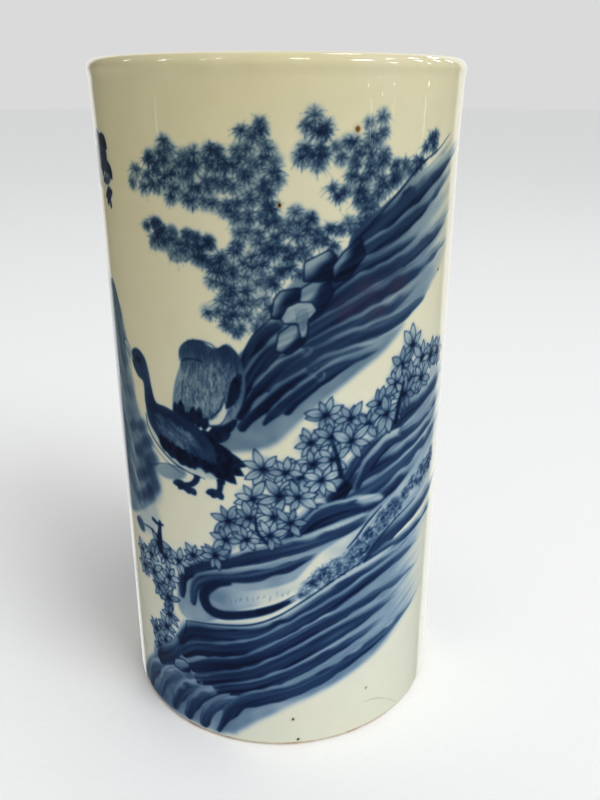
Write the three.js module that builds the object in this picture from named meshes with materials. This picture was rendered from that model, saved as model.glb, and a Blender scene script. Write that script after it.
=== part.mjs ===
// Cylindrical porcelain brush pot: a thrown wall on a base slab and a turned foot ring,
// with a glaze coat outside, a second one inside and a third in the foot's recess.
// Millimetres, +Z up. The origin is the middle of the foot's resting face.
import * as THREE from 'three';

// ---- driving dimensions ----
const HEIGHT = 192;            // resting face to the crown of the lip
const BODY_RADIUS = 50;        // outside of the glazed body
const WALL_THICKNESS = 5;      // glazed wall, outside to inside
const LIP_FLARE = 0.8;         // how far the lip turns out beyond the body
const FLARE_LENGTH = 8.5;      // height over which most of that flare dies away
const LIP_THICKNESS = 4.6;     // across the rounded lip
const LIP_RISE = 2.6;          // height of the lip's rounded top
const COAT = 0.4;              // glaze thickness
const CLEARANCE = 0.1;         // air between neighbouring solids
const INSIDE_FLOOR = 12;       // height of the glazed inside floor
const INSIDE_CORNER = 7;       // radius between the inside wall and the inside floor
const FOOT_WIDTH = 7;          // breadth of the foot ring
const FOOT_RECESS = 5;         // depth of the hollow under the base
const FOOT_EDGE = 0.5;         // rounding of the foot ring's two lower edges
const GLAZE_LINE = 1;          // the outer glaze stops this far above the resting face
const OVERLAP_DEPTH = 9;       // how far the outer glaze turns down inside the mouth
const SIDES = 60;              // steps round the pot
const LIP_STEPS = 6;           // steps round the rounded lip
const FLARE_STEPS = 4;         // steps down the flare

// ---- worked out ----
const SKIN = COAT + CLEARANCE;                      // from a glazed face to the clay behind it
const INSIDE_RADIUS = BODY_RADIUS - WALL_THICKNESS;
const LIP_BASE = HEIGHT - LIP_RISE;                 // where the rounded top starts
const FLARE_FOOT = LIP_BASE - 3 * FLARE_LENGTH;     // below this the body is straight
const LIP_OUTSIDE = BODY_RADIUS + LIP_FLARE;
const LIP_MIDDLE = LIP_OUTSIDE - LIP_THICKNESS / 2;
const GLAZE_END = HEIGHT - OVERLAP_DEPTH;           // where the two coats meet inside the mouth
const UNDERSIDE = FOOT_RECESS + SKIN;               // underside of the clay slab
const SLAB_TOP = INSIDE_FLOOR - SKIN;
const CLAY_RADIUS = BODY_RADIUS - SKIN;
const FOOT_INSIDE = BODY_RADIUS - FOOT_WIDTH;

const PORCELAIN_CLAY = { color: 0xdbd4c2, roughness: 0.8, metalness: 0 };
const TOASTED_CLAY = { color: 0xcda880, roughness: 0.75, metalness: 0 };
const IVORY_GLAZE = { color: 0xd9d9c0, roughness: 0.12, metalness: 0 };
const COBALT_GLAZE = { color: 0x6f86ad, roughness: 0.12, metalness: 0 };

const point = (radius, height) => new THREE.Vector2(radius, height);

// Points along an ellipse, from one angle to another in degrees.
function arc(centre, radii, from, to, steps) {
  return Array.from({ length: steps + 1 }, (_, step) => {
    const angle = THREE.MathUtils.degToRad(from + (to - from) * step / steps);
    return point(centre.x + radii.x * Math.cos(angle), centre.y + radii.y * Math.sin(angle));
  });
}

// The flare under the lip, from the straight body up, moved into the wall by an inset.
function flareLine(inset) {
  return Array.from({ length: FLARE_STEPS }, (_, step) => {
    const height = FLARE_FOOT + (LIP_BASE - FLARE_FOOT) * step / FLARE_STEPS;
    const flare = step === 0 ? 0 : LIP_FLARE * Math.exp((height - LIP_BASE) / FLARE_LENGTH);
    return point(BODY_RADIUS + flare - inset, height);
  });
}

// The rounded lip from its outside to its inside, moved into the wall by an inset.
function lipLine(inset) {
  const radii = point(LIP_THICKNESS / 2 - inset, LIP_RISE - inset);
  return arc(point(LIP_MIDDLE, LIP_BASE), radii, 0, 180, LIP_STEPS);
}

// A solid of revolution about +Z from an outline that goes round its section anticlockwise.
function turned(name, outline, finish) {
  const geometry = new THREE.LatheGeometry(outline, SIDES);
  const mesh = new THREE.Mesh(geometry, new THREE.MeshStandardMaterial(finish));
  mesh.name = name;
  mesh.rotation.x = Math.PI / 2;
  return mesh;
}

// A ring's section returns to its first point; a disc's starts and ends on the axis.
const closed = (outline) => [...outline, outline[0].clone()];

// The hollow between the inside wall and the inside floor, moved into the clay by an inset.
function cornerLine(inset, from, to) {
  const centre = point(INSIDE_RADIUS - INSIDE_CORNER, INSIDE_FLOOR + INSIDE_CORNER);
  return arc(centre, point(INSIDE_CORNER + inset, INSIDE_CORNER + inset), from, to, 5);
}

// The clay cylinder, from the slab up to the lip. Its foot thickens into the inside corner.
function wall() {
  const foot = SLAB_TOP + CLEARANCE;
  const corner = cornerLine(SKIN, 360, 285);
  return turned('wall', closed([
    point(CLAY_RADIUS, foot),
    ...flareLine(SKIN),
    ...lipLine(SKIN),
    point(INSIDE_RADIUS + SKIN, FLARE_FOOT),
    ...corner,
    point(corner.at(-1).x, foot),
  ]), PORCELAIN_CLAY);
}

// The clay slab that the wall stands on.
function baseSlab() {
  return turned('base_slab', [
    point(0, UNDERSIDE),
    point(CLAY_RADIUS, UNDERSIDE),
    point(CLAY_RADIUS, SLAB_TOP),
    point(0, SLAB_TOP),
  ], PORCELAIN_CLAY);
}

// The bare ring that the pot stands on, with its lower edges eased.
function footRing() {
  const edge = point(FOOT_EDGE, FOOT_EDGE);
  const top = UNDERSIDE - CLEARANCE;
  return turned('foot_ring', closed([
    ...arc(point(FOOT_INSIDE + FOOT_EDGE, FOOT_EDGE), edge, 180, 270, 3),
    ...arc(point(CLAY_RADIUS - FOOT_EDGE, FOOT_EDGE), edge, 270, 360, 3),
    point(CLAY_RADIUS, top),
    point(FOOT_INSIDE, top),
  ]), TOASTED_CLAY);
}

// The painted coat: up the outside, over the lip and a little way down inside the mouth.
function outerGlaze() {
  const bead = arc(point(BODY_RADIUS - COAT, GLAZE_LINE + COAT), point(COAT, COAT), 270, 360, 3);
  return turned('outer_glaze', closed([
    ...bead,
    ...flareLine(0),
    ...lipLine(0),
    point(insideRadius(GLAZE_END, 0), GLAZE_END),
    point(insideRadius(GLAZE_END, COAT), GLAZE_END),
    ...lipLine(COAT).reverse(),
    ...flareLine(COAT).reverse(),
  ]), COBALT_GLAZE);
}

// Radius of the inside face at a height above the flare, moved into the wall by an inset.
function insideRadius(height, inset) {
  const lipInside = LIP_MIDDLE - LIP_THICKNESS / 2;
  const share = (height - FLARE_FOOT) / (LIP_BASE - FLARE_FOOT);
  return THREE.MathUtils.lerp(INSIDE_RADIUS, lipInside, share) + inset;
}

// The inside coat: from the outer coat's end down the wall and across the floor.
function innerGlaze() {
  const top = GLAZE_END - CLEARANCE;
  return turned('inner_glaze', [
    point(0, INSIDE_FLOOR - COAT),
    ...cornerLine(COAT, 270, 360),
    point(INSIDE_RADIUS + COAT, FLARE_FOOT),
    point(insideRadius(top, COAT), top),
    point(insideRadius(top, 0), top),
    point(INSIDE_RADIUS, FLARE_FOOT),
    ...cornerLine(0, 360, 270),
    point(0, INSIDE_FLOOR),
  ], IVORY_GLAZE);
}

// The coat in the hollow of the foot, with a skirt down the ring's inside.
function undersideGlaze() {
  const outside = FOOT_INSIDE - CLEARANCE;
  const skirt = FOOT_RECESS / 2;
  return turned('underside_glaze', [
    point(0, FOOT_RECESS),
    ...arc(point(outside - skirt - COAT, skirt), point(skirt, skirt), 90, 0, 4),
    point(outside, skirt),
    point(outside, FOOT_RECESS + COAT),
    point(0, FOOT_RECESS + COAT),
  ], IVORY_GLAZE);
}

const group = new THREE.Group();
group.add(wall(), baseSlab(), footRing(), outerGlaze(), innerGlaze(), undersideGlaze());

export default group;
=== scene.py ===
"""Porcelain brush pot with a cobalt landscape under an ivory glaze: its looks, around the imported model."""
import math

import bpy
import numpy as np
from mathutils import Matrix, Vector


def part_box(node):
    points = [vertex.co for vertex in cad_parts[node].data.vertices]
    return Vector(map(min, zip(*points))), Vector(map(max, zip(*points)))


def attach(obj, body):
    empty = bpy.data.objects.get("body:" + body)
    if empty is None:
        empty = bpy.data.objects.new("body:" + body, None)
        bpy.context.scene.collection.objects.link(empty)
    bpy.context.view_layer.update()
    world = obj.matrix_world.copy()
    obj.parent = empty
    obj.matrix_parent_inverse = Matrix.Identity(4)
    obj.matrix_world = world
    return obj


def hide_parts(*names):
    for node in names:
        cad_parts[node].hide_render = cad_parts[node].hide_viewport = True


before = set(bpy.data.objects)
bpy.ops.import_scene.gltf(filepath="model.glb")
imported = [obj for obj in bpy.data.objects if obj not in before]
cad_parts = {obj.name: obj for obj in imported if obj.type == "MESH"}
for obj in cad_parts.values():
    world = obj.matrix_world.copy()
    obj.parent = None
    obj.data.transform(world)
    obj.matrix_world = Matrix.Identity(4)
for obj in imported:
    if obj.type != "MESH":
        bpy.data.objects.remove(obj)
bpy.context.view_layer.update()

MM = 0.001

# ---- sizes from the frame, in millimetres ----
COAT = 0.4                       # glaze thickness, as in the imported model
CLEARANCE = 0.1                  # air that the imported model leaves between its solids


def node_box(node):
    """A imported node's lowest and highest corner, in millimetres."""
    return [[value / MM for value in corner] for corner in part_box(node)]


(_, _, GLAZE_LINE), (LIP_OUTSIDE, _, HEIGHT) = node_box("outer_glaze")
(_, _, _), (CLAY_RADIUS, _, _) = node_box("base_slab")
(_, _, INNER_BACK), (_, _, GLAZE_SEAM) = node_box("inner_glaze")
(_, _, _), (SKIRT_OUTSIDE, _, RECESS_TOP) = node_box("underside_glaze")
(_, _, _), (_, _, FOOT_TOP) = node_box("foot_ring")
BODY_RADIUS = CLAY_RADIUS + COAT + CLEARANCE
INSIDE_FLOOR = INNER_BACK + COAT
FOOT_INSIDE = SKIRT_OUTSIDE + CLEARANCE
FOOT_RECESS = RECESS_TOP - COAT

# ---- the canvas ----
# The painting is made unrolled: x millimetres round from the front, to the right, and z millimetres up.
# A tone runs from 0, bare glaze, to 1, the darkest cobalt.
STEP = 0.3                       # between the canvas's points
PAINTED_TOP = 190
SEED = 11
AROUND = 2 * math.pi * BODY_RADIUS
COLUMNS = round(AROUND / STEP)
STEP_X = AROUND / COLUMNS
ROWS = round(PAINTED_TOP / STEP) + 1
cobalt = np.zeros((ROWS, COLUMNS), np.float32)
blush = np.zeros((ROWS, COLUMNS), np.float32)
iron = np.zeros((ROWS, COLUMNS), np.float32)
rng = np.random.default_rng(SEED)


def smooth(start, end, value):
    """0 at start, 1 at end, with an S-shaped rise between."""
    share = np.clip((value - start) / (end - start), 0, 1)
    return share * share * (3 - 2 * share)


def cloud(width, height, seed, turn=0.0):
    """Seamless random mottling with unit spread: blobs of that size in mm, turned by degrees."""
    white = np.random.default_rng(seed).standard_normal((ROWS, COLUMNS))
    up = np.fft.fftfreq(ROWS, STEP)[:, None]
    right = np.fft.rfftfreq(COLUMNS, STEP_X)[None, :]
    cosine, sine = math.cos(math.radians(turn)), math.sin(math.radians(turn))
    along = cosine * right + sine * up
    across = cosine * up - sine * right
    keep = np.exp(-2 * ((math.pi * width / 2 * along) ** 2 + (math.pi * height / 2 * across) ** 2))
    made = np.fft.irfft2(np.fft.rfft2(white) * keep, s=(ROWS, COLUMNS))
    return ((made - made.mean()) / made.std()).astype(np.float32)


GRAIN = cloud(0.9, 0.9, 1)
MOTTLE = cloud(3.5, 3.0, 2)
DRIFT = cloud(14, 11, 3)
FIBRES = cloud(16, 0.7, 4, turn=25)
WAVES = 0.02 * cloud(9, 14, 5)     # unevenness of the glazed surface, in mm
BRISTLES = cloud(11, 0.6, 6)       # marks that the hairs of a brush leave along a stroke


def window(low_x, high_x, low_z, high_z):
    """The canvas points inside a rectangle: their x, their z, and their place on the canvas."""
    columns = np.arange(math.floor(low_x / STEP_X), math.ceil(high_x / STEP_X) + 1)
    rows = np.arange(max(0, math.floor(low_z / STEP)), min(ROWS - 1, math.ceil(high_z / STEP)) + 1)
    xs, zs = np.meshgrid(columns * STEP_X, rows * STEP)
    return xs, zs, np.ix_(rows, columns % COLUMNS)


def window_round(points, margin):
    """The window that holds these points with a margin in mm."""
    low, high = np.min(points, axis=0) - margin, np.max(points, axis=0) + margin
    return window(low[0], high[0], low[1], high[1])


def lay(place, cover, tone):
    """Puts a tone over what is there."""
    cobalt[place] += (tone - cobalt[place]) * cover


def stain(place, ink):
    """Adds ink to what is there."""
    cobalt[place] = 1 - (1 - cobalt[place]) * (1 - np.clip(ink, 0, 1))


def lift(place, amount):
    """Takes cobalt off."""
    cobalt[place] *= 1 - np.clip(amount, 0, 1)


def lay_tone(tone):
    """A way for a stroke with this ink to cover what is there with one tone."""
    def act(place, ink):
        lay(place, np.clip(ink / tone, 0, 1), tone)
    return act


def curve(points, pieces=6, closed=False):
    """A smooth line through the points."""
    knots = np.asarray(points, float)
    if closed:
        knots = np.vstack([knots[-1], knots, knots[:2]])
    else:
        knots = np.vstack([2 * knots[0] - knots[1], knots, 2 * knots[-1] - knots[-2]])
    share = np.linspace(0, 1, pieces, endpoint=False)[None, :, None]
    before, start, end, after = knots[:-3, None], knots[1:-2, None], knots[2:-1, None], knots[3:, None]
    slope = (end - before) * share
    bend = (2 * before - 5 * start + 4 * end - after) * share ** 2
    twist = (3 * start - before - 3 * end + after) * share ** 3
    made = 0.5 * (2 * start + slope + bend + twist)
    return np.vstack([made.reshape(-1, 2), knots[-2]])


def reach(lines, widths, xs, zs):
    """For each canvas point and the nearest of the lines, whose width changes evenly through widths:
    the gap to its edge (below 0 inside), how far along (0 to 1), the signed distance from its middle
    (above 0 to the left), and its half width there."""
    starts, ends, first, last = [], [], [], []
    for line in lines:
        run = np.concatenate([[0], np.cumsum(np.hypot(*np.diff(line, axis=0).T))])
        run /= run[-1]
        starts.append(line[:-1])
        ends.append(line[1:])
        first.append(run[:-1])
        last.append(run[1:])
    a, b = np.vstack(starts), np.vstack(ends)
    first, last = np.concatenate(first), np.concatenate(last)
    step = b - a
    x, z = xs[None] - a[:, 0, None, None], zs[None] - a[:, 1, None, None]
    dx, dz = step[:, 0, None, None], step[:, 1, None, None]
    share = np.clip((x * dx + z * dz) / (dx * dx + dz * dz + 1e-12), 0, 1)
    distance = np.hypot(x - share * dx, z - share * dz)
    along = first[:, None, None] + share * (last - first)[:, None, None]
    half = np.interp(along, np.linspace(0, 1, len(widths)), widths) / 2
    nearest = np.argmin(distance - half, axis=0)[None]

    def of_nearest(values):
        return np.take_along_axis(values, nearest, 0)[0]

    side = np.where(of_nearest(dx * z - dz * x) >= 0, 1.0, -1.0)
    return of_nearest(distance - half), of_nearest(along), side * of_nearest(distance), of_nearest(half)


def strokes(lines, widths, ink, soft=0.16, act=stain):
    """Brush strokes of one kind: ink is one value, or several from the start to the end."""
    xs, zs, place = window_round(np.vstack(lines), max(widths) / 2 + 2 * soft)
    gap, along, _, _ = reach(lines, widths, xs, zs)
    strength = np.interp(along, np.linspace(0, 1, np.size(ink)), np.atleast_1d(ink))
    act(place, smooth(soft, -soft, gap) * strength)


def stroke(points, widths, ink, soft=0.16, act=stain):
    """One brush stroke through the points."""
    strokes([curve(points)], widths, ink, soft, act)


def signed(outline, xs, zs):
    """Distance in mm to a closed outline, above 0 inside it."""
    a, b = outline, np.roll(outline, -1, axis=0)
    rises = (a[:, 1, None, None] > zs) != (b[:, 1, None, None] > zs)
    height = np.where(b[:, 1] == a[:, 1], 1e-9, b[:, 1] - a[:, 1])[:, None, None]
    crossing = a[:, 0, None, None] + (zs - a[:, 1, None, None]) * (b - a)[:, 0, None, None] / height
    inside = (rises & (xs < crossing)).sum(0) % 2 == 1
    gap, _, _, _ = reach([np.vstack([outline, outline[:1]])], (0, 0), xs, zs)
    return np.where(inside, gap, -gap)


def area(points, soft, rounded=True):
    """The cover of a closed shape, and its place on the canvas."""
    outline = curve(points, 5, closed=True) if rounded else np.asarray(points, float)
    xs, zs, place = window_round(outline, 2 * soft + 0.5)
    return smooth(-soft, soft, signed(outline, xs, zs)), place, xs, zs


def pour(place, ink):
    """Floods a thin even wash that doesn't darken where it overlaps another."""
    cobalt[place] = np.maximum(cobalt[place], ink)


def patch(points, tone, soft):
    """An even tone over a closed shape."""
    cover, place, _, _ = area(points, soft)
    lay(place, cover, tone)


def wash(points, ink, soft=0.8, fades=None):
    """An even pool of thin cobalt inside a shape. It may fade out between two places on the x axis."""
    cover, place, xs, _ = area(points, soft)
    if fades:
        cover = cover * smooth(fades[1], fades[0], xs + 2 * FIBRES[place])
    pour(place, cover * ink * (1 + 0.07 * MOTTLE[place] + 0.05 * DRIFT[place]))


def line(points, width=0.5, ink=0.75, soft=0.2):
    """A fine brush line, thinner at its ends."""
    stroke(points, (width * 0.6, width, width, width * 0.5), ink, soft)


# ---- rocks ----
def bristles(length, along, off):
    """The marks of a brush's hairs, which follow its stroke."""
    row = (rng.integers(ROWS) + off / STEP).astype(int) % ROWS
    return BRISTLES[row, (along * length / STEP_X).astype(int) % COLUMNS]


def fold(points, widths, dark=0.9, light=0.5, crest=1.2, tip=0.3):
    """A long fold of rock from its thick end to its tip: a pale crest along its left side that widens
    towards the tip, then darker and darker. Over its last share, tip, it breaks into dry brush marks."""
    path = curve(points)
    xs, zs, place = window_round(path, max(widths) / 2 + 1.2)
    gap, along, off, half = reach([path], widths, xs, zs)
    length = np.hypot(*np.diff(path, axis=0).T).sum()
    hairs = bristles(length, along, off)
    sway = 0.26 * MOTTLE[place]
    across = np.maximum(half + sway - off, 0)
    crest_width = crest * (0.5 + 1.2 * along) * np.maximum(1 + 0.4 * MOTTLE[place] + 0.2 * hairs, 0.2)
    pale = smooth(1.3, 0.45, across / crest_width)
    body = dark - 0.14 * along - 0.06 * smooth(0.9, 0.4, across / np.maximum(2 * half, 0.5)) + 0.055 * hairs
    glow = light + 0.22 * smooth(0.4, 0, along) - 0.22 * along
    tone = body + (glow + 0.06 * hairs - body) * pale
    ending = smooth(1 - tip, 1, along)
    tone -= ending * (tone - 0.42) * 0.7
    cover = smooth(0.35, -0.3, gap + sway) * smooth(1.05, 0.5, ending + 0.17 * hairs)
    lay(place, cover, np.clip(tone, 0, 1))


def folds(rows, **look):
    """Folds laid one below the other. A row is a fold's points and its widths."""
    for points, widths in rows:
        fold(points, widths, **look)


CORNER_CUT = 0.08                # of a side's length


def chiselled(points):
    """A closed outline with its corners cut off."""
    start = np.asarray(points, float)
    end = np.roll(start, -1, axis=0)
    cut = CORNER_CUT * (end - start)
    return np.stack([start + cut, end - cut], axis=1).reshape(-1, 2)


def block(points, light=0.4, dark=0.92, edge=-0.1):
    """An outlined block of rock, pale on its upper left and dark on its lower right."""
    outline = chiselled(points)
    cover, place, xs, zs = area(outline, 0.25, rounded=False)
    middle, size = outline.mean(axis=0), np.ptp(outline, axis=0)
    slope = (xs - middle[0]) / size[0] - 0.8 * (zs - middle[1]) / size[1] + 0.07 * MOTTLE[place]
    tone = light + (dark - light) * smooth(edge - 0.08, edge + 0.26, slope)
    lay(place, cover, tone + 0.05 * FIBRES[place])
    strokes([np.vstack([outline, outline[:1]])], (0.38, 0.38), 0.9, 0.14)


# ---- foliage ----
def scatter(shape, spacing, outside=0.0):
    """Points about that far apart inside a shape, or up to outside mm around it, from the top down."""
    outline = curve(shape, 4, closed=True)
    low, high = outline.min(0) - outside, outline.max(0) + outside
    xs, zs = np.meshgrid(np.arange(low[0], high[0], spacing), np.arange(high[1], low[1], -0.87 * spacing))
    xs = xs + (np.arange(len(xs)) % 2)[:, None] * spacing / 2 + rng.uniform(-0.35, 0.35, xs.shape) * spacing
    zs = zs + rng.uniform(-0.35, 0.35, zs.shape) * spacing
    inside = signed(outline, xs, zs) > -outside
    return np.stack([xs[inside], zs[inside]], axis=1)


def haze(spots, radius, ink, soft=1.0):
    """One thin wash round many spots."""
    xs, zs, place = window_round(spots, radius + 2 * soft)
    nearest = np.full(xs.shape, 1e9)
    for x, z in spots:
        nearest = np.minimum(nearest, np.hypot(xs - x, zs - z))
    cover = smooth(radius + soft, radius - soft, nearest + 0.35 * MOTTLE[place])
    pour(place, cover * ink * (1 + 0.12 * MOTTLE[place] + 0.1 * DRIFT[place]))


def spray(x, z, size, ink=0.6, needles=11):
    """Fine needles round one point that droop towards their tips."""
    lines = []
    turn = rng.uniform(0, 2 * math.pi)
    for needle in range(needles):
        angle = turn + 2 * math.pi * (needle + rng.uniform(-0.4, 0.4)) / needles
        length = size * rng.uniform(0.55, 1.15)
        way = np.array([math.cos(angle), 0.9 * math.sin(angle)]) * length
        lines.append(curve([[x, z], way * 0.5 + [x, z + 0.08 * size], way + [x, z - 0.14 * size]], 3))
    strokes(lines, (0.22, 0.24, 0.1), (ink, ink * 0.9, ink * 0.75), 0.12)


def canopy(shape, ink=0.36, spacing=2.9, size=3.1, dark=0.76):
    """Needle foliage in a haze of thin cobalt."""
    spots = scatter(shape, spacing, 1.1)
    haze(spots, size * 0.66, ink, 0.8)
    for x, z in spots:
        spray(x, z, size * rng.uniform(0.75, 1.2), dark * rng.uniform(0.7, 1.2), int(rng.integers(11, 15)))


def leaf(x, z, angle, length, breadth, inside=0.28, ink=0.8):
    """A pointed leaf from its stalk end, pale inside a dark outline."""
    way = np.array([math.cos(angle), math.sin(angle)])
    across = np.array([-way[1], way[0]])
    bend = rng.uniform(-0.16, 0.16) * length
    # share of the way to the tip, and of the half width there
    ribs = ((0.0, 0.1), (0.3, 0.8), (0.55, 1.0), (0.82, 0.6), (1.0, 0.0))
    middle = [np.array([x, z]) + way * share * length + across * bend * share * share for share, _ in ribs]
    sides = [curve([m + side * across * breadth / 2 * half for m, (_, half) in zip(middle, ribs)], 3)
             for side in (1, -1)]
    outline = np.vstack([sides[0], sides[1][::-1]])
    xs, zs, place = window_round(outline, 0.5)
    shade = inside * (1 + 0.2 * MOTTLE[place]) + 0.25 * smooth(0.45 * length, 0, np.hypot(xs - x, zs - z))
    lay(place, 0.9 * smooth(-0.15, 0.15, signed(outline, xs, zs)), shade)
    strokes(sides, (0.44, 0.36, 0.4), (ink, ink * 0.8, ink), 0.17)
    strokes([np.array(middle[:4])], (0.3, 0.16), (ink * 0.6, ink * 0.2), 0.16)


def rosette(x, z, size, leaves=7, inside=0.28, ink=0.8):
    """Long leaves round one point, with a dark heart."""
    turn = rng.uniform(0, 2 * math.pi)
    for index in rng.permutation(leaves):
        angle = turn + 2 * math.pi * (index + rng.uniform(-0.3, 0.3)) / leaves
        length = size * rng.uniform(0.75, 1.12)
        leaf(x, z, angle, length, length * rng.uniform(0.34, 0.46), inside, ink)
    stroke([[x - 0.4, z - 0.1], [x + 0.4, z + 0.1]], (1.1, 1.1), ink, 0.45)


def bush(spots, size=5.8, inside=0.28, ink=0.8):
    """A spread of rosettes in a haze."""
    spots = np.asarray(spots, float)
    haze(spots, size * 0.68, 0.26, 1.2)
    for x, z in spots:
        rosette(x, z, size * rng.uniform(0.8, 1.08), int(rng.integers(6, 9)), inside, ink)


def dark_leaves(x, z, size, count, ink=0.97):
    """A clump of broad, nearly black leaves that hang."""
    for _ in range(count):
        leaf(x + rng.uniform(-0.55, 0.55) * size, z + rng.uniform(-0.5, 0.6) * size, rng.uniform(-2.7, -0.4),
             size * rng.uniform(0.5, 0.8), size * rng.uniform(0.28, 0.4), ink * rng.uniform(0.9, 1), ink)


# ---- birds ----
def plume(start, end, breadth, tone=0.95):
    """A single pointed feather from its root to its tip."""
    start, end = np.array(start, float), np.array(end, float)
    way = end - start
    across = np.array([-way[1], way[0]]) / np.hypot(*way) * breadth / 2
    # share of the way to the tip, and of the half width there
    ribs = ((0.0, 0.5), (0.35, 1.0), (0.75, 0.8), (1.0, 0.0))
    sides = [curve([start + way * share + side * across * half for share, half in ribs], 3)
             for side in (1, -1)]
    outline = np.vstack([sides[0], sides[1][::-1]])
    xs, zs, place = window_round(outline, 0.6)
    lay(place, smooth(-0.2, 0.2, signed(outline, xs, zs)), tone + 0.03 * GRAIN[place])


HAIR_SPREAD = 12                 # degrees to either side of a hair's heading
HAIRS_AT_ONCE = 30


def down(shape, heading, count, ink, length=2.6, width=0.2, act=stain):
    """Many fine hairs inside a shape. heading is their direction at x = 0, in degrees, and how far it
    turns with each millimetre to the right."""
    outline = curve(shape, 5, closed=True)
    spots = rng.uniform(outline.min(0), outline.max(0), (count * 3, 2))
    depth = signed(outline, spots[None, :, 0], spots[None, :, 1])[0]
    lines = []
    for x, z in spots[depth > 0.3 + 0.2 * length][:count]:
        turn = math.radians(heading[0] + heading[1] * x + rng.uniform(-HAIR_SPREAD, HAIR_SPREAD))
        way = np.array([math.cos(turn), math.sin(turn)]) * length * rng.uniform(0.6, 1.2) / 2
        lines.append(np.array([[x, z] - way, [x, z] + way]))
    for group in range(0, len(lines), HAIRS_AT_ONCE):
        strokes(lines[group:group + HAIRS_AT_ONCE], (width, width * 0.5), (ink, ink * 0.4), 0.15, act)


# ---- the front of the scene ----
def upper_foliage():
    """Two arms of needle foliage that reach left from a mass above the upper rock."""
    canopy([(-38.5, 170), (-34, 173), (-32, 176), (-26, 178.6), (-21, 176.4), (-16, 178), (-11, 178),
            (-6, 182.4), (-3, 183.4), (-2, 179), (0, 176), (0, 168), (-1, 163), (5, 163), (7, 164.6),
            (12, 161), (19, 161.4), (22, 165), (17, 168), (13, 169), (18, 171.4), (19, 175.6), (12, 175.6),
            (6, 176.4), (8.6, 180), (9, 185), (11, 185), (12.4, 179.4), (19, 179.6), (22, 180.6),
            (23, 184.4), (26, 184.6), (26.4, 181), (21.6, 176), (26, 176), (31, 174), (36, 176),
            (42, 176.6), (43, 180), (44.4, 178), (42, 175), (36, 171), (30, 167), (25, 162), (20, 158),
            (12, 156), (6, 152), (5, 149), (0, 146), (-2, 141), (-7, 134.4), (-12, 135), (-17.4, 138.6),
            (-15.4, 140), (-11, 143.6), (-16, 147.4), (-17, 150), (-13, 152), (-8.6, 157), (-9, 162),
            (-14, 165), (-20, 167), (-26, 167), (-31, 170), (-35, 169)])
    canopy([(-34.4, 158), (-30, 159.4), (-24, 158), (-18, 158), (-16, 156), (-15, 152), (-20, 153),
            (-27, 154.4)],
           0.5, dark=0.76)


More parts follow.
